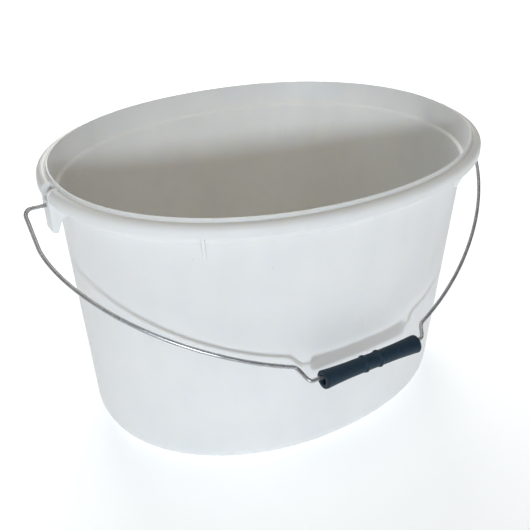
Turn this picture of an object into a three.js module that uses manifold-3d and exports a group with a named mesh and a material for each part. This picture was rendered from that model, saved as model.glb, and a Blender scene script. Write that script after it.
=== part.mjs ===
// Oval plastic bucket with a wire bail and a loose tube grip.
// Millimetres, +Z up. The origin is the centre of the flat underside, X runs along the oval.
import * as THREE from 'three';
import { mergeVertices } from 'three/addons/utils/BufferGeometryUtils.js';
import Module from 'manifold-3d';

const wasm = await Module();
wasm.setup();

// Bucket body: the lip is an oval, and every other ring is that oval drawn in or out.
const LIP_HALF_LENGTH = 185;
const LIP_HALF_WIDTH = 142;
const OVAL_POWER = 2.1;
const HEIGHT = 241;
const PLAN_STEPS = 80;
const WALL = 2;
const BASE_THICKNESS = 2.6;
const TOP_INSET = 3;
const DRAFT = 13.9;
const CORNER_RADIUS = 17;
const CORNER_STEPS = 5;
const BASE_RELIEF = 0.8;

// Heights in the rim, measured down from the lip.
const STEP_DOWN = 22.6;
const BAND_DOWN = 20.6;
const SKIRT_DOWN = 11.7;

// The lip stands this far out and in of its oval, and the collar below it leans in to its foot.
const LIP_OUT = 0.75;
const LIP_IN = 0.65;
const COLLAR_LEAN = 2.2;

// Ears, one at each end of the oval.
const PIVOT_DOWN = 16.7;
const EAR_HALF_WIDTH = 8.5;
const POCKET_HALF_WIDTH = 6.5;
const EAR_TOP_DOWN = 2.4;
const EAR_OUTER = LIP_HALF_LENGTH + 9.4;
const EAR_TIP_OUTER = LIP_HALF_LENGTH + 8.8;
const EAR_TIP_INNER = LIP_HALF_LENGTH + 4.9;
const EAR_TIP_DOWN = 37.5;
const EAR_HEEL = LIP_HALF_LENGTH + 0.2;
const EAR_HEEL_DOWN = 26.5;
const EAR_PLATE = 2;
const EAR_FLOOR = 3.5;
const NOTCH_DOWN = 12;

// Short ribs under the rim.
const RIB_THICKNESS = 2.2;
const RIB_TURN = 0.885;
const RIB_TIP_DOWN = 33;
const RIB_TIP_OUT = 3;

// Bail: a squared hoop, an upright stretch at each end, then a small bend into the ear.
const WIRE_RADIUS = 1.6;
const WIRE_SIDES = 10;
const WIRE_STEPS = 220;
const WIRE_CLEARANCE = 0.3;
const HEAD_RADIUS = 3;
const HEAD_THICKNESS = 1.6;
const HEAD_INNER = LIP_HALF_LENGTH + 3.6;
const OUTREACH = 211.2;
const EAR_BEND = 6.5;
const HOOP_START = 33;
const HOOP_DEPTH = 164.3;
const HOOP_POWER = 1.6;
const HOOP_STEPS = 60;
const JOG_START = 63;
const JOG_SHIFT = 3.5;
const JOG_PULL = 6.5;
const GRIP_REACH = 196;
const GRIP_STRAIGHT = 52;
const BAIL_DROP = THREE.MathUtils.degToRad(36.5);

// Grip: a loose tube on the straight middle of the bail.
const GRIP_LENGTH = 92;
const GRIP_END_RADIUS = 7.5;
const GRIP_WAIST_RADIUS = 6.2;
const GRIP_RIDGE_RADIUS = 7.1;
const GRIP_RIDGE_PLACE = 6.9;
const GRIP_BORE_RADIUS = 4;
const GRIP_SIDES = 36;
const GRIP_SHIFT = -2.5;

const PIVOT_HEIGHT = HEIGHT - PIVOT_DOWN;

const plastic = new THREE.MeshStandardMaterial({ color: 0xe9ebe8, roughness: 0.45, metalness: 0 });
const steel = new THREE.MeshStandardMaterial({ color: 0x8f9290, roughness: 0.35, metalness: 1 });
const black = new THREE.MeshStandardMaterial({ color: 0x15181c, roughness: 0.55, metalness: 0 });

function toSolid(geometry) {
  const bare = geometry.clone();
  bare.deleteAttribute('normal');
  bare.deleteAttribute('uv');
  const merged = mergeVertices(bare, 1e-4);
  const vertProperties = new Float32Array(merged.attributes.position.array);
  const triVerts = new Uint32Array(merged.index.array);
  return new wasm.Manifold(new wasm.Mesh({ numProp: 3, vertProperties, triVerts }));
}

function toGeometry(solid) {
  const mesh = solid.getMesh();
  const geometry = new THREE.BufferGeometry();
  geometry.setAttribute('position', new THREE.BufferAttribute(mesh.vertProperties, 3));
  geometry.setIndex(new THREE.BufferAttribute(mesh.triVerts, 1));
  geometry.computeVertexNormals();
  return geometry;
}

function ovalPoint(halfLength, halfWidth, turn) {
  const c = Math.cos(turn);
  const s = Math.sin(turn);
  const x = halfLength * Math.sign(c) * Math.abs(c) ** (2 / OVAL_POWER);
  const y = halfWidth * Math.sign(s) * Math.abs(s) ** (2 / OVAL_POWER);
  return new THREE.Vector2(x, y);
}

// One ring of the body, drawn in from the lip's oval by inset.
function insetRing(inset, z) {
  return { a: LIP_HALF_LENGTH - inset, b: LIP_HALF_WIDTH - inset, z };
}

function wallInset(z) {
  return TOP_INSET + DRAFT * (1 - z / HEIGHT);
}

// Rings for the underside and the floor, each a fraction of the base's oval.
function baseRing(fraction, z) {
  const inset = wallInset(0) + CORNER_RADIUS;
  const ring = insetRing(inset, z);
  return { a: ring.a * fraction, b: ring.b * fraction, z };
}

function cornerRings(thickness, floorHeight) {
  const rings = [];
  const radius = CORNER_RADIUS - thickness;
  for (let i = 0; i <= CORNER_STEPS; i += 1) {
    const turn = (i / CORNER_STEPS) * (Math.PI / 2);
    const z = floorHeight + radius * (1 - Math.cos(turn));
    const inset = wallInset(z) + thickness + radius * (1 - Math.sin(turn));
    rings.push(insetRing(inset, z));
  }
  return rings;
}

// Height of a point given as a distance down from the lip.
function down(distance) {
  return HEIGHT - distance;
}

function bodyRings() {
  const stepZ = down(STEP_DOWN);
  const bandZ = down(BAND_DOWN);
  const skirtZ = down(SKIRT_DOWN);
  const underside = [baseRing(0.5, 0), baseRing(0.52, BASE_RELIEF), baseRing(0.9, BASE_RELIEF), baseRing(0.92, 0)];
  const outside = [
    ...cornerRings(0, 0),
    insetRing(wallInset(stepZ), stepZ),
    insetRing(wallInset(stepZ) - 0.5, stepZ + 0.7),
    insetRing(COLLAR_LEAN + 0.5, bandZ - 0.6),
    insetRing(COLLAR_LEAN, bandZ + 0.4),
    insetRing(0, down(6)),
    insetRing(-1, down(4.8)),
    insetRing(-4.2, down(5)),
    insetRing(-6.2, down(6.8)),
    insetRing(-7.1, down(9.4)),
    insetRing(-7.4, skirtZ),
    insetRing(-9.2, skirtZ),
    insetRing(-9, down(8.8)),
    insetRing(-8.2, down(6.4)),
    insetRing(-6.7, down(4.2)),
    insetRing(-4.7, down(2.9)),
    insetRing(-3, down(2.5)),
    insetRing(-2, down(2.9)),
    insetRing(-1.3, down(2.4)),
    insetRing(-LIP_OUT, down(0.8)),
    insetRing(-LIP_OUT + 0.4, down(0)),
  ];
  const inside = [
    insetRing(LIP_IN - 0.4, down(0)),
    insetRing(LIP_IN, down(0.8)),
    insetRing(COLLAR_LEAN + WALL, bandZ + 0.4),
    insetRing(COLLAR_LEAN + WALL + 0.5, bandZ - 0.6),
    insetRing(wallInset(stepZ) + WALL - 0.5, stepZ + 0.7),
    insetRing(wallInset(stepZ) + WALL, stepZ - 0.4),
    ...cornerRings(WALL, BASE_THICKNESS).reverse(),
  ];
  return [...underside, ...outside, ...inside];
}

// Closed skin through all rings, with a fan at the middle of the underside and of the floor.
function ringSolid(rings) {
  const positions = [];
  const index = [];
  for (const ring of rings) {
    for (let i = 0; i < PLAN_STEPS; i += 1) {
      const p = ovalPoint(ring.a, ring.b, (i / PLAN_STEPS) * 2 * Math.PI);
      positions.push(p.x, p.y, ring.z);
    }
  }
  const bottom = positions.length / 3;
  positions.push(0, 0, rings[0].z);
  const top = bottom + 1;
  positions.push(0, 0, rings[rings.length - 1].z);
  const last = (rings.length - 1) * PLAN_STEPS;
  for (let i = 0; i < PLAN_STEPS; i += 1) {
    const next = (i + 1) % PLAN_STEPS;
    index.push(bottom, next, i);
    index.push(top, last + i, last + next);
    for (let r = 0; r < rings.length - 1; r += 1) {
      const low = r * PLAN_STEPS;
      const high = low + PLAN_STEPS;
      index.push(low + i, low + next, high + next);
      index.push(low + i, high + next, high + i);
    }
  }
  const geometry = new THREE.BufferGeometry();
  geometry.setAttribute('position', new THREE.Float32BufferAttribute(positions, 3));
  geometry.setIndex(index);
  return toSolid(geometry);
}

// A flat outline in X and Z, thickened along Y about the plane Y = 0.
function plate(outline, halfThickness) {
  const shape = new THREE.Shape(outline);
  const geometry = new THREE.ExtrudeGeometry(shape, { depth: 2 * halfThickness, bevelEnabled: false });
  geometry.rotateX(Math.PI / 2);
  geometry.translate(0, halfThickness, 0);
  return geometry;
}

function outline(...pairs) {
  return pairs.map(([x, z]) => new THREE.Vector2(x, z));
}

// Ear at the +X end: cheeks beside the notch, and a tongue that hangs below the rim.
function earBlock() {
  const stepZ = down(STEP_DOWN);
  const inWall = LIP_HALF_LENGTH - wallInset(stepZ) - WALL / 2;
  const inLip = LIP_HALF_LENGTH - LIP_IN / 2;
  const inBand = LIP_HALF_LENGTH - COLLAR_LEAN - WALL / 2;
  const shape = outline(
    [inLip, down(EAR_TOP_DOWN)],
    [LIP_HALF_LENGTH + 6, down(EAR_TOP_DOWN)],
    [EAR_OUTER - 1.4, down(EAR_TOP_DOWN + 1.2)],
    [EAR_OUTER, down(EAR_TOP_DOWN + 3.8)],
    [EAR_OUTER, down(SKIRT_DOWN)],
    [EAR_TIP_OUTER, down(EAR_TIP_DOWN)],
    [EAR_TIP_INNER, down(EAR_TIP_DOWN + 0.6)],
    [EAR_HEEL, down(EAR_HEEL_DOWN)],
    [inWall - 0.4, down(EAR_HEEL_DOWN - 1)],
    [inWall, stepZ],
    [inBand, down(BAND_DOWN)],
  );
  return toSolid(plate(shape.reverse(), EAR_HALF_WIDTH));
}

// The hollow between the ear's cheeks, open at the top through the notch.
function earPocket() {
  const inner = LIP_HALF_LENGTH + 1.5;
  const shape = outline(
    [inner, down(-2)],
    [inner, down(EAR_HEEL_DOWN)],
    [EAR_TIP_INNER + 1, down(EAR_TIP_DOWN - EAR_FLOOR)],
    [EAR_TIP_OUTER - EAR_PLATE, down(EAR_TIP_DOWN - EAR_FLOOR)],
    [EAR_OUTER - EAR_PLATE, down(NOTCH_DOWN)],
    [EAR_OUTER + 2, down(NOTCH_DOWN)],
    [EAR_OUTER + 2, down(-2)],
  );
  return toSolid(plate(shape, POCKET_HALF_WIDTH));
}

function earHole() {
  const length = 10;
  const geometry = new THREE.CylinderGeometry(WIRE_RADIUS + WIRE_CLEARANCE, WIRE_RADIUS + WIRE_CLEARANCE, length, 20);
  geometry.rotateZ(Math.PI / 2);
  geometry.translate(EAR_OUTER, 0, PIVOT_HEIGHT);
  return toSolid(geometry);
}

// A short upright rib that ties the rim's skirt to the wall below it.
function rimRib(turn) {
  const at = ovalPoint(LIP_HALF_LENGTH, LIP_HALF_WIDTH, turn);
  const slopeX = Math.sign(at.x) * Math.abs(at.x / LIP_HALF_LENGTH) ** (OVAL_POWER - 1) / LIP_HALF_LENGTH;
  const slopeY = Math.sign(at.y) * Math.abs(at.y / LIP_HALF_WIDTH) ** (OVAL_POWER - 1) / LIP_HALF_WIDTH;
  const stepZ = down(STEP_DOWN);
  const inWall = -wallInset(stepZ) - WALL / 2;
  const shape = outline(
    [inWall - 0.6, down(RIB_TIP_DOWN)],
    [inWall + RIB_TIP_OUT, down(RIB_TIP_DOWN - 0.4)],
    [5.5, down(SKIRT_DOWN - 0.4)],
    [6.8, down(8)],
    [0, down(4)],
    [-COLLAR_LEAN - WALL / 2, down(BAND_DOWN)],
    [inWall, stepZ],
  );
  const geometry = plate(shape, RIB_THICKNESS / 2);
  geometry.rotateZ(Math.atan2(slopeY, slopeX));
  geometry.translate(at.x, at.y, 0);
  return toSolid(geometry);
}

function bucketShell() {
  let body = ringSolid(bodyRings());
  for (const side of [0, Math.PI]) {
    const turned = [0, 0, THREE.MathUtils.radToDeg(side)];
    body = body.add(earBlock().rotate(turned));
    body = body.subtract(earPocket().rotate(turned));
    body = body.subtract(earHole().rotate(turned));
  }
  for (const turn of [RIB_TURN, Math.PI - RIB_TURN, Math.PI + RIB_TURN, -RIB_TURN]) {
    body = body.add(rimRib(turn));
  }
  return toGeometry(body);
}

// Half of the bail's centre line, in its own plane: X, and the reach from the pivot axis.
// The straight middle sits a little to the left, so the two halves differ by shift.
function halfBail(shift) {
  const straight = GRIP_STRAIGHT + shift;
  const lastTurn = Math.acos(((JOG_START + shift) / OUTREACH) ** (HOOP_POWER / 2));
  const hoop = [];
  for (let i = 1; i <= HOOP_STEPS; i += 1) {
    const turn = (i / HOOP_STEPS) * lastTurn;
    const x = OUTREACH * Math.cos(turn) ** (2 / HOOP_POWER);
    const reach = HOOP_START + HOOP_DEPTH * Math.sin(turn) ** (2 / HOOP_POWER);
    hoop.push(new THREE.Vector2(x, reach));
  }
  const jog = hoop[HOOP_STEPS - 1];
  const heading = jog.clone().sub(hoop[HOOP_STEPS - 2]).setLength(JOG_PULL);
  const pull = jog.clone().add(heading);
  const path = new THREE.Path();
  path.moveTo(HEAD_INNER, 0);
  path.lineTo(OUTREACH - EAR_BEND, 0);
  path.absarc(OUTREACH - EAR_BEND, EAR_BEND, EAR_BEND, -Math.PI / 2, 0, false);
  path.lineTo(OUTREACH, HOOP_START);
  path.splineThru(hoop);
  path.bezierCurveTo(pull.x, pull.y, straight + JOG_PULL, GRIP_REACH, straight, GRIP_REACH);
  path.lineTo(0, GRIP_REACH);
  return path;
}

function bailWire() {
  const right = halfBail(-JOG_SHIFT).getSpacedPoints(WIRE_STEPS);
  const left = halfBail(JOG_SHIFT).getSpacedPoints(WIRE_STEPS);
  const route = new THREE.CatmullRomCurve3([
    ...right.map((p) => new THREE.Vector3(p.x, -p.y, 0)),
    ...left.slice(0, -1).reverse().map((p) => new THREE.Vector3(-p.x, -p.y, 0)),
  ]);
  route.arcLengthDivisions = 4 * WIRE_STEPS;
  const section = new THREE.Shape();
  section.absarc(0, 0, WIRE_RADIUS, 0, 2 * Math.PI, false);
  const options = {
    steps: WIRE_STEPS,
    extrudePath: route,
    curveSegments: WIRE_SIDES / 2,
    bevelEnabled: false,
  };
  let wire = toSolid(new THREE.ExtrudeGeometry(section, options));
  for (const side of [1, -1]) {
    const head = new THREE.CylinderGeometry(HEAD_RADIUS, HEAD_RADIUS, HEAD_THICKNESS, 20);
    head.rotateZ(Math.PI / 2);
    head.translate(side * HEAD_INNER, 0, 0);
    wire = wire.add(toSolid(head));
  }
  return toGeometry(wire);
}

function handGrip() {
  const end = GRIP_LENGTH / 2;
  const ridge = GRIP_RIDGE_PLACE;
  const side = [
    [0, GRIP_WAIST_RADIUS],
    [ridge - 1.4, GRIP_WAIST_RADIUS],
    [ridge - 0.7, GRIP_RIDGE_RADIUS],
    [ridge + 0.7, GRIP_RIDGE_RADIUS],
    [ridge + 1.6, GRIP_WAIST_RADIUS],
    [end * 0.55, GRIP_WAIST_RADIUS + 0.2],
    [end - 9, GRIP_WAIST_RADIUS + 0.9],
    [end - 3, GRIP_END_RADIUS - 0.3],
    [end - 1, GRIP_END_RADIUS],
    [end, GRIP_END_RADIUS - 0.6],
    [end, GRIP_BORE_RADIUS + 0.6],
    [end - 0.8, GRIP_BORE_RADIUS],
  ];
  const right = side.map(([along, radius]) => new THREE.Vector2(radius, along));
  const left = side.slice(1).reverse().map(([along, radius]) => new THREE.Vector2(radius, -along));
  const geometry = new THREE.LatheGeometry([...left, ...right, left[0]], GRIP_SIDES);
  geometry.rotateZ(-Math.PI / 2);
  return toGeometry(toSolid(geometry));
}

function named(name, geometry, material) {
  const mesh = new THREE.Mesh(geometry, material);
  mesh.name = name;
  return mesh;
}

const bucket = new THREE.Group();
bucket.add(named('bucket_shell', bucketShell(), plastic));

const bail = new THREE.Group();
bail.position.z = PIVOT_HEIGHT;
bail.rotation.x = BAIL_DROP;
bail.add(named('bail_wire', bailWire(), steel));

const grip = named('hand_grip', handGrip(), black);
const hang = GRIP_BORE_RADIUS - WIRE_RADIUS - WIRE_CLEARANCE;
grip.position.set(GRIP_SHIFT, -GRIP_REACH - hang, 0);
bail.add(grip);

bucket.add(bail);

export default bucket;
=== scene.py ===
import math
import bmesh
import bpy
from mathutils import Matrix, Vector, noise


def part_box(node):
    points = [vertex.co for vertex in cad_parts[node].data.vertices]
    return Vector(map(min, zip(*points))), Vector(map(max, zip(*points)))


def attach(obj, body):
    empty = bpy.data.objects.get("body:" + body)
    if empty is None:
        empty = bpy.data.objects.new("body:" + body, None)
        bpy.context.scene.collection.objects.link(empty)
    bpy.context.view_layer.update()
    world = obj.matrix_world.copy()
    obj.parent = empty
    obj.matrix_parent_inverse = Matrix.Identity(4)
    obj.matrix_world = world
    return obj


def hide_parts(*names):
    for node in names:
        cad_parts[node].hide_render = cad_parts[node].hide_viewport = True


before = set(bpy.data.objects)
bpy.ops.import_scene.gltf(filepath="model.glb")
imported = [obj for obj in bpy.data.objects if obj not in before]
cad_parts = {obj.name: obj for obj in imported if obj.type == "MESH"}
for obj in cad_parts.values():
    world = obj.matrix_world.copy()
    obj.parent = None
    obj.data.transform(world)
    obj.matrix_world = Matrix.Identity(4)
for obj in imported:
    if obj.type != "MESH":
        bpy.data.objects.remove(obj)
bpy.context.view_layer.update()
scene = bpy.context.scene

# ---------------------------------------------------------------------------
# Camera: a long-ish lens a little above the bucket, on the side where the bail
# hangs and towards the left ear.
# ---------------------------------------------------------------------------
shell_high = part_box("bucket_shell")[1]
HEIGHT = shell_high.z
AIM = Vector((0, 0, 0.404 * HEIGHT))
CAMERA_AZIMUTH = math.radians(-31.4)
CAMERA_ELEVATION = math.radians(30.9)
CAMERA_DISTANCE = 0.736
LENS = 53.1
FRAME_SHIFT = (-0.0052, 0.0308)

toward_camera = Vector((
    math.sin(CAMERA_AZIMUTH) * math.cos(CAMERA_ELEVATION),
    -math.cos(CAMERA_AZIMUTH) * math.cos(CAMERA_ELEVATION),
    math.sin(CAMERA_ELEVATION),
))
camera_data = bpy.data.cameras.new("camera")
camera_data.lens = LENS
camera_data.sensor_width = 36
camera_data.clip_start = 0.01
camera_data.shift_x, camera_data.shift_y = FRAME_SHIFT
camera = bpy.data.objects.new("camera", camera_data)
camera.location = AIM + CAMERA_DISTANCE * toward_camera
camera.rotation_euler = (math.pi / 2 - CAMERA_ELEVATION, 0, CAMERA_AZIMUTH)
scene.collection.objects.link(camera)
scene.camera = camera
scene.view_settings.view_transform = "Standard"

# ---------------------------------------------------------------------------
# Light and floor: a low window-like lamp in front, soft lamps to the left, above
# and behind, a pale sky, and a pale matt floor that glows where the bucket stands.
# ---------------------------------------------------------------------------
LAMPS = [
    # name, azimuth, elevation, distance, width, height, watts, colour
    ("window", -22, 14.3, 2.4, 0.14, 0.24, 23.5, (0.83, 0.91, 1.0)),
    ("left_wall", -100, 25, 2.2, 1.4, 1.4, 4.5, (0.88, 0.97, 1.0)),
    ("above", 10, 80, 2.0, 1.0, 1.0, 5, (1.0, 0.92, 0.76)),
    ("behind", 160, 24, 2.2, 1.4, 0.9, 28, (0.95, 0.98, 1.0)),
]
for name, azimuth, elevation, distance, width, tall, watts, colour in LAMPS:
    lamp_data = bpy.data.lights.new(name, "AREA")
    lamp_data.shape = "RECTANGLE"
    lamp_data.size = width
    lamp_data.size_y = tall
    lamp_data.energy = watts
    lamp_data.color = colour
    lamp = bpy.data.objects.new(name, lamp_data)
    turn, rise = math.radians(azimuth), math.radians(elevation)
    level = math.cos(rise)
    away = Vector((math.sin(turn) * level, -math.cos(turn) * level, math.sin(rise)))
    lamp.location = AIM + distance * away
    lamp.rotation_euler = away.to_track_quat("Z", "Y").to_euler()
    scene.collection.objects.link(lamp)

world = bpy.data.worlds.new("pale_sky")
scene.world = world
world.use_nodes = True
sky = world.node_tree.nodes["Background"]
sky.inputs["Color"].default_value = (1.0, 0.95, 0.87, 1)
sky.inputs["Strength"].default_value = 0.18

FLOOR_HALF = 14
FLOOR_DROP = 0.0003
# where the floor's glow changes, measured towards the camera from the bucket's middle
GLOW_FRONT = 0.70
GLOW_BACK = 0.18
GLOW_FAR = -0.9
# how strongly it glows in front, round the bucket, and how much more far behind
GLOW_LEAST = 0.10
GLOW_MOST = 0.44
GLOW_EXTRA = 0.30
floor_mesh = bpy.data.meshes.new("floor")
floor_bm = bmesh.new()
bmesh.ops.create_grid(floor_bm, x_segments=1, y_segments=1, size=FLOOR_HALF)
bmesh.ops.translate(floor_bm, verts=list(floor_bm.verts), vec=(0, 0, -FLOOR_DROP))
floor_bm.to_mesh(floor_mesh)
floor_bm.free()
floor = bpy.data.objects.new("floor", floor_mesh)
scene.collection.objects.link(floor)
floor_paint = bpy.data.materials.new("pale_floor")
floor_paint.use_nodes = True
floor_nodes = floor_paint.node_tree
floor_shader = floor_nodes.nodes["Principled BSDF"]
floor_shader.inputs["Base Color"].default_value = (0.9, 0.9, 0.9, 1)
floor_shader.inputs["Roughness"].default_value = 0.9
floor_shader.inputs["Emission Color"].default_value = (0.93, 0.97, 1, 1)
floor_place = floor_nodes.nodes.new("ShaderNodeTexCoord")
floor_along = floor_nodes.nodes.new("ShaderNodeVectorMath")
floor_along.operation = "DOT_PRODUCT"
floor_along.inputs[1].default_value = (toward_camera.x, toward_camera.y, 0)
floor_nodes.links.new(floor_place.outputs["Object"], floor_along.inputs[0])
floor_fade = floor_nodes.nodes.new("ShaderNodeMapRange")
floor_fade.interpolation_type = "SMOOTHSTEP"
floor_fade.inputs["From Min"].default_value = GLOW_FRONT
floor_fade.inputs["From Max"].default_value = GLOW_BACK
floor_fade.inputs["To Min"].default_value = GLOW_LEAST
floor_fade.inputs["To Max"].default_value = GLOW_MOST
floor_nodes.links.new(floor_along.outputs["Value"], floor_fade.inputs["Value"])
floor_rise = floor_nodes.nodes.new("ShaderNodeMapRange")
floor_rise.inputs["From Min"].default_value = 0
floor_rise.inputs["From Max"].default_value = GLOW_FAR
floor_rise.inputs["To Min"].default_value = 0
floor_rise.inputs["To Max"].default_value = GLOW_EXTRA
floor_nodes.links.new(floor_along.outputs["Value"], floor_rise.inputs["Value"])
floor_glow = floor_nodes.nodes.new("ShaderNodeMath")
floor_nodes.links.new(floor_fade.outputs["Result"], floor_glow.inputs[0])
floor_nodes.links.new(floor_rise.outputs["Result"], floor_glow.inputs[1])
floor_nodes.links.new(floor_glow.outputs["Value"], floor_shader.inputs["Emission Strength"])
floor_mesh.materials.append(floor_paint)

# ---------------------------------------------------------------------------
# Bucket: one injection moulding in white polypropylene. The wall tapers, steps
# out at a stacking ledge, and turns over at the top into a hollow rolled rim
# with a thin lip. The section is spun, then every ring is drawn into the oval.
# ---------------------------------------------------------------------------
RIM_OUT = 0.0092
EAR_OUT = 0.0094
LIP_LENGTH = 0.185
LIP_WIDTH = shell_high.y - RIM_OUT
OVAL_POWER = 2.1
TOP_INSET = 0.003
DRAFT = 0.0139
LIP_OUT = 0.00075
LIP_IN = 0.00065
COLLAR_LEAN = 0.0022
WALL = 0.002
FLOOR_THICKNESS = 0.0026
CORNER = 0.017
RELIEF = 0.0008
STEP_Z = HEIGHT - 0.0226
BAND_Z = HEIGHT - 0.0206
SKIRT_Z = HEIGHT - 0.0117
AROUND = 256
WALL_CUTS = 22
BASE_REACH = LIP_LENGTH - TOP_INSET - DRAFT - CORNER
WARP = 0.0004
WAVES_AROUND = 2.2
WAVES_UP = 7
STIFF_REACH = 0.95
STIFF_FADE = 14


def wall_inset(z):
    return TOP_INSET + DRAFT * (1 - z / HEIGHT)


def oval(reach, turn):
    """Where a point of the round section lands when its ring is drawn into the oval."""
    long_by = LIP_LENGTH - LIP_WIDTH
    if reach > BASE_REACH:
        across = reach - long_by
    else:
        across = reach * (BASE_REACH - long_by) / BASE_REACH
    c, s = math.cos(turn), math.sin(turn)
    x = reach * math.copysign(abs(c) ** (2 / OVAL_POWER), c)
    y = across * math.copysign(abs(s) ** (2 / OVAL_POWER), s)
    return x, y


# corners of the section: distance from the middle, height, and how round it is
foot = LIP_LENGTH - wall_inset(0)
ledge = LIP_LENGTH - wall_inset(STEP_Z)
collar_foot = LIP_LENGTH - COLLAR_LEAN - WALL
section = [
    (0, 0.0004, 0),
    (0.0016, 0.0004, 0.0002),
    (0.0020, 0.0010, 0.0002),
    (0.0065, 0.0010, 0.0003),
    (0.0075, 0, 0.0003),
    (0.50 * BASE_REACH, 0, 0.0005),
    (0.51 * BASE_REACH, RELIEF, 0.0005),
    (0.90 * BASE_REACH, RELIEF, 0.0008),
    (0.92 * BASE_REACH, 0, 0.0008),
    (foot, 0, 0.0168),
    (ledge, STEP_Z + 0.0003, 0.0009),
    (LIP_LENGTH - COLLAR_LEAN, BAND_Z, 0.0006),
    (LIP_LENGTH, HEIGHT - 0.0048, 0.0008),
    (LIP_LENGTH + 0.0071, HEIGHT - 0.0046, 0.0042),
    (LIP_LENGTH + 0.0074, SKIRT_Z, 0.0003),
    (LIP_LENGTH + RIM_OUT, SKIRT_Z, 0.0005),
    (LIP_LENGTH + 0.0089, HEIGHT - 0.0024, 0.0052),
    (LIP_LENGTH + 0.0026, HEIGHT - 0.0024, 0.0005),
    (LIP_LENGTH + 0.0018, HEIGHT - 0.0031, 0.0003),
    (LIP_LENGTH + 0.0010, HEIGHT - 0.0028, 0.0002),
    (LIP_LENGTH + LIP_OUT, HEIGHT, 0.0004),
    (LIP_LENGTH - LIP_IN, HEIGHT, 0.0004),
    (collar_foot + 0.0001, BAND_Z + 0.0006, 0.0002),
    (collar_foot + 0.0004, BAND_Z + 0.0002, 0.0001),
    (collar_foot - 0.0001, BAND_Z - 0.0002, 0.0002),
    (ledge - WALL, STEP_Z, 0.0010),
    (foot - WALL, FLOOR_THICKNESS, 0.0148),
    (0, FLOOR_THICKNESS, 0),
]
bm = bmesh.new()
corners = [bm.verts.new((reach, 0, z)) for reach, z, _ in section]
bm.faces.new(corners)
rounding = [(vert, radius) for vert, (_, _, radius) in zip(corners, section) if radius]
for vert, radius in rounding:
    bmesh.ops.bevel(
        bm, geom=[vert], offset=radius, offset_type="OFFSET",
        segments=8 if radius > 0.002 else 4, profile=0.5, affect="VERTICES", material=-1,
    )
bmesh.ops.delete(bm, geom=list(bm.faces), context="FACES_ONLY")
middle = [e for e in bm.edges if all(abs(v.co.x) < 1e-7 for v in e.verts)]
bmesh.ops.delete(bm, geom=middle, context="EDGES")
long_edges = [e for e in bm.edges if e.calc_length() > 0.1]
walls = [e for e in long_edges if abs(e.verts[0].co.z - e.verts[1].co.z) > 0.1]
bmesh.ops.subdivide_edges(bm, edges=walls, cuts=WALL_CUTS)
bmesh.ops.spin(
    bm, geom=list(bm.verts) + list(bm.edges), cent=(0, 0, 0), axis=(0, 0, 1),
    angle=2 * math.pi, steps=AROUND, use_merge=True,
)
bmesh.ops.remove_doubles(bm, verts=list(bm.verts), dist=1e-6)
for vert in bm.verts:
    turn = math.atan2(vert.co.y, vert.co.x)
    reach = math.hypot(vert.co.x, vert.co.y)
    vert.co.x, vert.co.y = oval(reach, turn)
    # the long walls of a thin moulding are never quite true; both skins go together
    free = max(0.0, min(1.0, reach / BASE_REACH - STIFF_REACH)) * max(0.0, 1 - vert.co.z / STEP_Z) ** 0.5
    wave = (WAVES_AROUND * math.cos(turn), WAVES_AROUND * math.sin(turn), WAVES_UP * vert.co.z)
    lean = noise.noise(Vector(wave))
    outward = Vector((vert.co.x / LIP_LENGTH, vert.co.y / LIP_WIDTH, 0)).normalized()
    vert.co += WARP * min(1.0, STIFF_FADE * free) * lean * outward
bmesh.ops.recalc_face_normals(bm, faces=list(bm.faces))
bucket_mesh = bpy.data.meshes.new("bucket")
bm.to_mesh(bucket_mesh)
bm.free()
bucket = bpy.data.objects.new("bucket", bucket_mesh)
scene.collection.objects.link(bucket)

# Ears and ribs: moulded with the bucket. Each ear is a hollow tongue below the
# rim with a slot at its top, where the bail's end drops in, and a round hole.
# Four thin ribs stiffen the skirt. They are joined to and cut from the shell.
EAR_HALF = 0.0085
EAR_SOFT = 0.0005
EAR_CORNER = 0.0016
POCKET_HALF = 0.0065
PIVOT_Z = HEIGHT - 0.0167
HOLE_RADIUS = 0.0019
HOLE_DEPTH = 0.008
RIB_HALF = 0.0011
RIB_SOFT = 0.0002
RIB_TURN = 0.885
SHARP_TURN = math.radians(28)
inner_wall = -wall_inset(STEP_Z) - WALL / 2
# outlines: distance out from the lip's oval and distance down from the lip
ear_outline = [
    (-LIP_IN / 2, 0.0024), (0.0060, 0.0024), (0.0080, 0.0036), (EAR_OUT, 0.0062), (EAR_OUT, 0.0117),
    (0.0088, 0.0375), (0.0049, 0.0381), (0.0002, 0.0265), (inner_wall - 0.0004, 0.0255),
    (inner_wall, 0.0226), (-COLLAR_LEAN - WALL / 2, 0.0206),
]
pocket_outline = [
    (0.0015, -0.0020), (0.0015, 0.0265), (0.0059, 0.0340), (0.0068, 0.0340), (0.0074, 0.0120),
    (0.0114, 0.0120), (0.0114, -0.0020),
]
rib_outline = [
    (inner_wall - 0.0006, 0.0330), (inner_wall + 0.0030, 0.0326), (0.0055, 0.0113), (0.0068, 0.0080),
    (0, 0.0040), (-COLLAR_LEAN - WALL / 2, 0.0206), (inner_wall, 0.0226),
]


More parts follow.
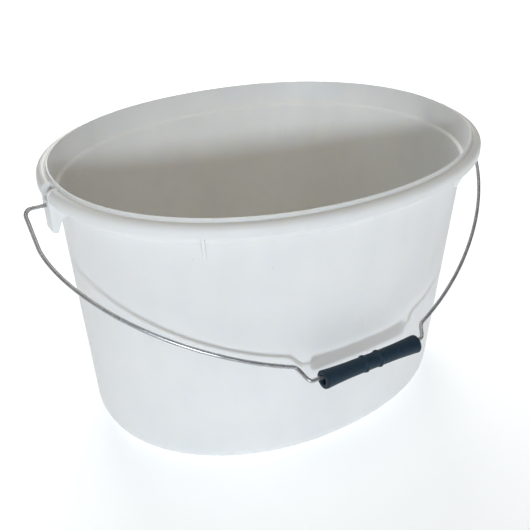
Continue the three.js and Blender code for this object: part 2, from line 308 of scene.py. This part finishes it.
def cut_plate(gathered, outline, half, soften, place, round_outer=0.0):
    """A plate of that outline in X and Z, softened along its edges and added to those gathered."""
    bm = bmesh.new()
    made = [bm.verts.new((out, -half, HEIGHT - drop)) for out, drop in outline]
    front = bm.faces.new(made)
    grown = bmesh.ops.extrude_face_region(bm, geom=[front])["geom"]
    far_side = [v for v in grown if isinstance(v, bmesh.types.BMVert)]
    bmesh.ops.translate(bm, verts=far_side, vec=(0, 2 * half, 0))
    bmesh.ops.recalc_face_normals(bm, faces=list(bm.faces))
    if round_outer:
        outermost = [
            e for e in bm.edges
            if all(v.co.x > EAR_OUT - 0.001 for v in e.verts)
            and e.verts[0].co.y * e.verts[1].co.y > 0 and e.calc_length() > 0.004
        ]
        bmesh.ops.bevel(
            bm, geom=outermost, offset=round_outer, offset_type="OFFSET", segments=4,
            profile=0.5, affect="EDGES", clamp_overlap=True, material=-1,
        )
    sharp = [e for e in bm.edges if e.calc_face_angle(0) > SHARP_TURN]
    bmesh.ops.bevel(
        bm, geom=sharp, offset=soften, offset_type="OFFSET", segments=2, profile=0.5,
        affect="EDGES", clamp_overlap=True, material=-1,
    )
    bmesh.ops.transform(bm, matrix=place, verts=list(bm.verts))
    plate_mesh = bpy.data.meshes.new("plate")
    bm.to_mesh(plate_mesh)
    bm.free()
    gathered.from_mesh(plate_mesh)
    bpy.data.meshes.remove(plate_mesh)


def join_or_cut(target, tool_bm, operation):
    """Adds the tool's shape to the target or takes it away, and keeps the result as the target's mesh."""
    tool_mesh = bpy.data.meshes.new("tool")
    tool_bm.to_mesh(tool_mesh)
    tool_bm.free()
    tool = bpy.data.objects.new("tool", tool_mesh)
    scene.collection.objects.link(tool)
    change = target.modifiers.new("change", "BOOLEAN")
    change.operation = operation
    change.solver = "MANIFOLD"
    change.object = tool
    bpy.context.view_layer.update()
    settled = target.evaluated_get(bpy.context.evaluated_depsgraph_get())
    changed = bpy.data.meshes.new_from_object(settled)
    target.modifiers.remove(change)
    changed.name = target.data.name
    target.data = changed
    bpy.data.objects.remove(tool)


half_turn = Matrix.Rotation(math.pi, 4, "Z")
at_ear = Matrix.Translation((LIP_LENGTH, 0, 0))
added = bmesh.new()
for place in (at_ear, half_turn @ at_ear):
    cut_plate(added, ear_outline, EAR_HALF, EAR_SOFT, place, round_outer=EAR_CORNER)
for turn in (RIB_TURN, math.pi - RIB_TURN, math.pi + RIB_TURN, -RIB_TURN):
    x, y = oval(LIP_LENGTH, turn)
    slope_x = math.copysign(abs(x / LIP_LENGTH) ** (OVAL_POWER - 1) / LIP_LENGTH, x)
    slope_y = math.copysign(abs(y / LIP_WIDTH) ** (OVAL_POWER - 1) / LIP_WIDTH, y)
    facing = Matrix.Rotation(math.atan2(slope_y, slope_x), 4, "Z")
    cut_plate(added, rib_outline, RIB_HALF, RIB_SOFT, Matrix.Translation((x, y, 0)) @ facing)
join_or_cut(bucket, added, "UNION")

hollow = bmesh.new()
for place in (at_ear, half_turn @ at_ear):
    cut_plate(hollow, pocket_outline, POCKET_HALF, EAR_SOFT, place)
join_or_cut(bucket, hollow, "DIFFERENCE")

holes = bmesh.new()
laid_down = Matrix.Rotation(math.pi / 2, 4, "Y")
for side in (1, -1):
    lie = Matrix.Translation((side * (LIP_LENGTH + EAR_OUT), 0, PIVOT_Z)) @ laid_down
    bmesh.ops.create_cone(
        holes, cap_ends=True, segments=32, radius1=HOLE_RADIUS, radius2=HOLE_RADIUS,
        depth=HOLE_DEPTH, matrix=lie,
    )
join_or_cut(bucket, holes, "DIFFERENCE")


# White polypropylene: a cold satin white, slightly cloudy, with fine grain, upright
# rub lines from stacking, scuffs round the foot and small nicks along the lip.
def finish_step(tree, kind, settings, **sockets):
    """One node of a finish. Underscores stand for the spaces in a socket's name."""
    step = tree.nodes.new(kind)
    for setting, value in settings.items():
        setattr(step, setting, value)
    for socket, value in sockets.items():
        wanted = socket.replace("_", " ")
        target = next(s for s in step.inputs if s.name == wanted and s.enabled and not s.is_linked)
        if isinstance(value, bpy.types.NodeSocket):
            tree.links.new(value, target)
        else:
            target.default_value = value
    return step


def cloud(tree, place, scale, detail, roughness=0.5):
    return finish_step(
        tree, "ShaderNodeTexNoise", {}, Vector=place, Scale=scale, Detail=detail, Roughness=roughness,
    ).outputs["Fac"]


def stretched(tree, place, scale):
    return finish_step(tree, "ShaderNodeMapping", {}, Vector=place, Scale=scale).outputs["Vector"]


def remap(tree, value, low, high, to_low=0.0, to_high=1.0):
    step = finish_step(tree, "ShaderNodeMapRange", {"interpolation_type": "SMOOTHSTEP"}, Value=value)
    for socket, number in zip(("From Min", "From Max", "To Min", "To Max"), (low, high, to_low, to_high)):
        step.inputs[socket].default_value = number
    return step.outputs["Result"]


def combine(tree, operation, a, b):
    step = tree.nodes.new("ShaderNodeMath")
    step.operation = operation
    for socket, value in zip(step.inputs, (a, b)):
        if isinstance(value, bpy.types.NodeSocket):
            tree.links.new(value, socket)
        else:
            socket.default_value = value
    return step.outputs["Value"]


def blend_colour(tree, amount, first, second):
    step = tree.nodes.new("ShaderNodeMix")
    step.data_type = "RGBA"
    for socket, value in zip((step.inputs[0], step.inputs[6], step.inputs[7]), (amount, first, second)):
        if isinstance(value, bpy.types.NodeSocket):
            tree.links.new(value, socket)
        else:
            socket.default_value = value
    return step.outputs[2]


plastic = bpy.data.materials.new("white_polypropylene")
plastic.use_nodes = True
tree = plastic.node_tree
shader = tree.nodes["Principled BSDF"]
place = finish_step(tree, "ShaderNodeTexCoord", {}).outputs["Object"]
height = finish_step(tree, "ShaderNodeSeparateXYZ", {}, Vector=place).outputs["Z"]
mottle = cloud(tree, place, 11, 3)
flow = cloud(tree, stretched(tree, place, (1, 1, 0.25)), 60, 3)
grain = cloud(tree, place, 1300, 2)
pebble = cloud(tree, place, 420, 3)
rub_lines = remap(tree, cloud(tree, stretched(tree, place, (1, 1, 0.05)), 700, 2, 0.6), 0.60, 0.74)
rub_patch = remap(tree, cloud(tree, place, 24, 3), 0.50, 0.68)
rubbed = combine(tree, "MULTIPLY", rub_lines, rub_patch)
near_foot = remap(tree, height, 0.022, 0.001)
foot_scuff = combine(tree, "MULTIPLY", near_foot, remap(tree, cloud(tree, place, 190, 5, 0.7), 0.46, 0.68))
near_lip = remap(tree, height, HEIGHT - 0.006, HEIGHT)
lip_nick = combine(tree, "MULTIPLY", near_lip, remap(tree, cloud(tree, place, 330, 3, 0.6), 0.64, 0.76))
worn = combine(tree, "MAXIMUM", foot_scuff, lip_nick)
speck = remap(tree, cloud(tree, place, 520, 1), 0.79, 0.83)
colour = blend_colour(tree, remap(tree, mottle, 0.3, 0.7), (0.775, 0.785, 0.79, 1), (0.83, 0.835, 0.835, 1))
colour = blend_colour(tree, remap(tree, flow, 0.3, 0.75, 0.0, 0.35), colour, (0.85, 0.845, 0.835, 1))
colour = blend_colour(tree, combine(tree, "MULTIPLY", rubbed, 0.30), colour, (0.70, 0.70, 0.69, 1))
colour = blend_colour(tree, combine(tree, "MULTIPLY", worn, 0.45), colour, (0.56, 0.55, 0.53, 1))
colour = blend_colour(tree, combine(tree, "MULTIPLY", speck, 0.5), colour, (0.46, 0.44, 0.40, 1))
tree.links.new(colour, shader.inputs["Base Color"])
rough = remap(tree, mottle, 0.3, 0.7, 0.44, 0.54)
rough = combine(tree, "ADD", rough, combine(tree, "MULTIPLY", rubbed, 0.14))
rough = combine(tree, "ADD", rough, combine(tree, "MULTIPLY", worn, 0.22))
tree.links.new(rough, shader.inputs["Roughness"])
relief = combine(tree, "MULTIPLY", grain, 0.35)
relief = combine(tree, "ADD", relief, combine(tree, "MULTIPLY", pebble, 0.65))
relief = combine(tree, "SUBTRACT", relief, combine(tree, "MULTIPLY", worn, 1.4))
relief = combine(tree, "SUBTRACT", relief, combine(tree, "MULTIPLY", rubbed, 0.6))
fine_bump = finish_step(tree, "ShaderNodeBump", {}, Height=relief, Strength=0.30, Distance=0.00012)
sink_bump = finish_step(
    tree, "ShaderNodeBump", {}, Height=cloud(tree, place, 26, 2), Strength=0.25, Distance=0.0012,
    Normal=fine_bump.outputs["Normal"],
)
tree.links.new(sink_bump.outputs["Normal"], shader.inputs["Normal"])
shader.inputs["IOR"].default_value = 1.49
shader.inputs["Specular IOR Level"].default_value = 0.42
shader.inputs["Subsurface Weight"].default_value = 0.40
shader.inputs["Subsurface Radius"].default_value = (1.0, 0.85, 0.62)
shader.inputs["Subsurface Scale"].default_value = 0.0035
bucket.data.materials.clear()
bucket.data.materials.append(plastic)
for polygon in bucket.data.polygons:
    polygon.use_smooth = True
    polygon.material_index = 0
bucket.data.set_sharp_from_angle(angle=math.radians(32))

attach(bucket, "bucket")
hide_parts("bucket_shell")

# ---------------------------------------------------------------------------
# Bail: hard-drawn steel wire, galvanised. A squared hoop with an upright at each
# side, a bend into each ear, an upset head behind the ear's plate, and a small
# jog each side of the straight middle that holds the grip.
# ---------------------------------------------------------------------------
WIRE_RADIUS = 0.0016
HEAD_RADIUS = 0.0029
HEAD_INNER = LIP_LENGTH + 0.0036
EAR_LEAD = LIP_LENGTH + 0.011
OUTREACH = 0.2112
EAR_BEND = 0.0065
UPRIGHT_REACH = 0.020
HOOP_START = 0.033
HOOP_DEPTH = 0.1643
HOOP_POWER = 1.6
JOG_START = 0.063
JOG_SHIFT = 0.0035
JOG_PULL = 0.0065
GRIP_REACH = 0.196
GRIP_STRAIGHT = 0.052
BAIL_DROP = math.radians(36.5)
BEND_STEPS = 12
HOOP_STEPS = 80
JOG_STEPS = 16
MIDDLE_STEPS = 6


def half_bail(shift):
    """The centre line from ear to middle: distance along the oval, and reach from the pivot."""
    straight = GRIP_STRAIGHT + shift
    last = math.acos(((JOG_START + shift) / OUTREACH) ** (HOOP_POWER / 2))
    line = [(HEAD_INNER, 0), (EAR_LEAD, 0)]
    for i in range(BEND_STEPS + 1):
        turn = math.pi / 2 * i / BEND_STEPS
        line.append((OUTREACH - EAR_BEND * (1 - math.sin(turn)), EAR_BEND * (1 - math.cos(turn))))
    line.append((OUTREACH, UPRIGHT_REACH))
    for i in range(HOOP_STEPS + 1):
        turn = last * i / HOOP_STEPS
        line.append((
            OUTREACH * math.cos(turn) ** (2 / HOOP_POWER),
            HOOP_START + HOOP_DEPTH * math.sin(turn) ** (2 / HOOP_POWER),
        ))
    jog, before = Vector(line[-1]), Vector(line[-2])
    pull = jog + JOG_PULL * (jog - before).normalized()
    landing = Vector((straight, GRIP_REACH))
    meet = landing + Vector((JOG_PULL, 0))
    for i in range(1, JOG_STEPS + 1):
        t = i / JOG_STEPS
        line.append(tuple(
            (1 - t) ** 3 * jog + 3 * t * (1 - t) ** 2 * pull + 3 * t * t * (1 - t) * meet + t ** 3 * landing
        ))
    line += [(straight * (1 - i / MIDDLE_STEPS), GRIP_REACH) for i in range(1, MIDDLE_STEPS + 1)]
    return line


route = half_bail(-JOG_SHIFT) + [(-x, v) for x, v in half_bail(JOG_SHIFT)[-2::-1]]
wire_curve = bpy.data.curves.new("wire_line", "CURVE")
wire_curve.dimensions = "3D"
wire_curve.fill_mode = "FULL"
wire_curve.bevel_depth = WIRE_RADIUS
wire_curve.bevel_resolution = 5
spline = wire_curve.splines.new("POLY")
spline.points.add(len(route) - 1)
for point, (x, reach) in zip(spline.points, route):
    point.co = (x, -reach * math.cos(BAIL_DROP), PIVOT_Z - reach * math.sin(BAIL_DROP), 1)
wire_line = bpy.data.objects.new("wire_line", wire_curve)
scene.collection.objects.link(wire_line)
bpy.context.view_layer.update()
settled_wire = wire_line.evaluated_get(bpy.context.evaluated_depsgraph_get())
wire_mesh = bpy.data.meshes.new_from_object(settled_wire)
bpy.data.objects.remove(wire_line)
bm = bmesh.new()
bm.from_mesh(wire_mesh)
bmesh.ops.remove_doubles(bm, verts=list(bm.verts), dist=1e-6)
ends = bmesh.ops.holes_fill(bm, edges=[e for e in bm.edges if e.is_boundary], sides=0)["faces"]
bmesh.ops.recalc_face_normals(bm, faces=list(bm.faces))
# each step of an upset head: how much wider than the last, and how much further in
head_steps = (
    (1.0, 0.0002), (HEAD_RADIUS / WIRE_RADIUS, 0.0001), (1.04, 0.0006), (0.93, 0.0003), (0.62, 0.0002),
)
for cap in ends:
    side = math.copysign(1, cap.calc_center_median().x)
    for grow, inward in head_steps:
        made = bmesh.ops.extrude_face_region(bm, geom=[cap])["geom"]
        bmesh.ops.delete(bm, geom=[cap], context="FACES_ONLY")
        cap = next(f for f in made if isinstance(f, bmesh.types.BMFace))
        about = Matrix.Translation(-cap.calc_center_median())
        bmesh.ops.scale(bm, vec=(1, grow, grow), space=about, verts=list(cap.verts))
        bmesh.ops.translate(bm, vec=(-side * inward, 0, 0), verts=list(cap.verts))
bmesh.ops.recalc_face_normals(bm, faces=list(bm.faces))
bm.to_mesh(wire_mesh)
bm.free()
wire_mesh.name = "bail"
bail = bpy.data.objects.new("bail", wire_mesh)
scene.collection.objects.link(bail)

# Galvanised steel: dull zinc with small cloudy patches and crystals, a fine grain
# and darker, rougher tarnished spots here and there.
zinc = bpy.data.materials.new("galvanised_steel")
zinc.use_nodes = True
tree = zinc.node_tree
shader = tree.nodes["Principled BSDF"]
place = finish_step(tree, "ShaderNodeTexCoord", {}).outputs["Object"]
spangle = finish_step(tree, "ShaderNodeTexVoronoi", {}, Vector=place, Scale=420).outputs["Color"]
spangle = finish_step(tree, "ShaderNodeSeparateXYZ", {}, Vector=spangle).outputs["X"]
patch = cloud(tree, place, 90, 4, 0.6)
fine = cloud(tree, place, 2600, 3, 0.6)
tarnish = remap(tree, cloud(tree, place, 48, 4, 0.65), 0.50, 0.72)
shade = remap(tree, patch, 0.3, 0.7)
colour = blend_colour(tree, shade, (0.35, 0.355, 0.37, 1), (0.45, 0.455, 0.47, 1))
colour = blend_colour(tree, combine(tree, "MULTIPLY", spangle, 0.20), colour, (0.64, 0.65, 0.67, 1))
colour = blend_colour(tree, combine(tree, "MULTIPLY", tarnish, 0.40), colour, (0.26, 0.26, 0.265, 1))
tree.links.new(colour, shader.inputs["Base Color"])
rough = remap(tree, patch, 0.3, 0.7, 0.20, 0.30)
rough = combine(tree, "ADD", rough, combine(tree, "MULTIPLY", tarnish, 0.18))
tree.links.new(rough, shader.inputs["Roughness"])
relief = combine(tree, "ADD", fine, combine(tree, "MULTIPLY", patch, 0.5))
zinc_bump = finish_step(tree, "ShaderNodeBump", {}, Height=relief, Strength=0.25, Distance=0.00006)
tree.links.new(zinc_bump.outputs["Normal"], shader.inputs["Normal"])
shader.inputs["Metallic"].default_value = 0.75
bail.data.materials.clear()
bail.data.materials.append(zinc)
for polygon in bail.data.polygons:
    polygon.use_smooth = True
    polygon.material_index = 0
bail.data.set_sharp_from_angle(angle=math.radians(40))

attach(bail, "bail")
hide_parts("bail_wire")

# ---------------------------------------------------------------------------
# Grip: a loose black polyethylene tube, moulded in a two-part die, so a faint line
# runs along each side. The ends flare and two rings stand up near the middle.
# It hangs on the wire by one side of its bore.
# ---------------------------------------------------------------------------
GRIP_HALF = 0.046
END_RADIUS = 0.0075
WAIST_RADIUS = 0.0062
RIDGE_RADIUS = 0.0071
RIDGE_PLACE = 0.0069
BORE_RADIUS = 0.004
SEAM_HEIGHT = 0.00018
SEAM_HALF = 0.0004
grip_low, grip_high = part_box("hand_grip")
grip_middle = (grip_low + grip_high) / 2
# half of the section, from the middle: distance along, radius, and how round it is
half_section = [
    (RIDGE_PLACE - 0.0016, WAIST_RADIUS, 0.0005),
    (RIDGE_PLACE - 0.0008, RIDGE_RADIUS, 0.0005),
    (RIDGE_PLACE + 0.0008, RIDGE_RADIUS, 0.0005),
    (RIDGE_PLACE + 0.0017, WAIST_RADIUS, 0.0006),
    (0.55 * GRIP_HALF, WAIST_RADIUS + 0.0002, 0.002),
    (GRIP_HALF - 0.0100, WAIST_RADIUS + 0.0007, 0.002),
    (GRIP_HALF - 0.0040, END_RADIUS - 0.0002, 0.002),
    (GRIP_HALF - 0.0022, END_RADIUS, 0.0006),
    (GRIP_HALF, END_RADIUS - 0.0001, 0.0009),
    (GRIP_HALF, BORE_RADIUS, 0.0006),
]
outline = half_section + [(-along, radius, soft) for along, radius, soft in reversed(half_section)]
bm = bmesh.new()
corners = [bm.verts.new((along, 0, radius)) for along, radius, _ in outline]
bm.faces.new(corners)
for vert, (_, _, soft) in zip(corners, outline):
    bmesh.ops.bevel(
        bm, geom=[vert], offset=soft, offset_type="OFFSET", segments=4, profile=0.5,
        affect="VERTICES", material=-1,
    )
bmesh.ops.delete(bm, geom=list(bm.faces), context="FACES_ONLY")
bmesh.ops.spin(
    bm, geom=list(bm.verts) + list(bm.edges), cent=(0, 0, 0), axis=(1, 0, 0),
    angle=2 * math.pi, steps=96, use_merge=True,
)
bmesh.ops.remove_doubles(bm, verts=list(bm.verts), dist=1e-6)
for vert in bm.verts:
    radius = math.hypot(vert.co.y, vert.co.z)
    if radius > BORE_RADIUS + 0.001:
        # the line of the die's parting stands up at front and back
        line = math.exp(-(vert.co.z / SEAM_HALF) ** 2)
        vert.co.y += math.copysign(SEAM_HEIGHT * line, vert.co.y)
bmesh.ops.recalc_face_normals(bm, faces=list(bm.faces))
settle = Matrix.Translation(grip_middle) @ Matrix.Rotation(BAIL_DROP, 4, "X")
bmesh.ops.transform(bm, matrix=settle, verts=list(bm.verts))
grip_mesh = bpy.data.meshes.new("grip")
bm.to_mesh(grip_mesh)
bm.free()
grip = bpy.data.objects.new("grip", grip_mesh)
scene.collection.objects.link(grip)

# Black polyethylene: matt, with a leathery grain, paler rubs and fine scratches
# that run lengthwise. Its colours carry a painted bluish reflection on the black.
rubber = bpy.data.materials.new("black_polyethylene")
rubber.use_nodes = True
tree = rubber.node_tree
shader = tree.nodes["Principled BSDF"]
place = finish_step(tree, "ShaderNodeTexCoord", {}).outputs["Object"]
shade = cloud(tree, place, 60, 4, 0.6)
grain = cloud(tree, place, 1500, 3, 0.6)
scratch = remap(tree, cloud(tree, stretched(tree, place, (0.12, 1, 1)), 1400, 2, 0.6), 0.60, 0.72)
rubs = remap(tree, cloud(tree, place, 260, 4, 0.65), 0.52, 0.70)
clouded = remap(tree, shade, 0.3, 0.7)
# painted reflection: the black base, rubs and scratches are tinted blue as if reflecting bluish light
colour = blend_colour(tree, clouded, (0.006, 0.022, 0.040, 1), (0.012, 0.034, 0.056, 1))
colour = blend_colour(tree, combine(tree, "MULTIPLY", rubs, 0.35), colour, (0.030, 0.052, 0.072, 1))
colour = blend_colour(tree, combine(tree, "MULTIPLY", scratch, 0.25), colour, (0.060, 0.075, 0.088, 1))
tree.links.new(colour, shader.inputs["Base Color"])
rough = remap(tree, shade, 0.3, 0.7, 0.50, 0.62)
rough = combine(tree, "ADD", rough, combine(tree, "MULTIPLY", rubs, 0.12))
tree.links.new(rough, shader.inputs["Roughness"])
relief = combine(tree, "SUBTRACT", grain, combine(tree, "MULTIPLY", scratch, 0.5))
grain_bump = finish_step(tree, "ShaderNodeBump", {}, Height=relief, Strength=0.5, Distance=0.00015)
tree.links.new(grain_bump.outputs["Normal"], shader.inputs["Normal"])
shader.inputs["Specular IOR Level"].default_value = 0.28
grip.data.materials.append(rubber)
for polygon in grip.data.polygons:
    polygon.use_smooth = True
grip.data.set_sharp_from_angle(angle=math.radians(40))

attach(grip, "grip")
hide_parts("hand_grip")
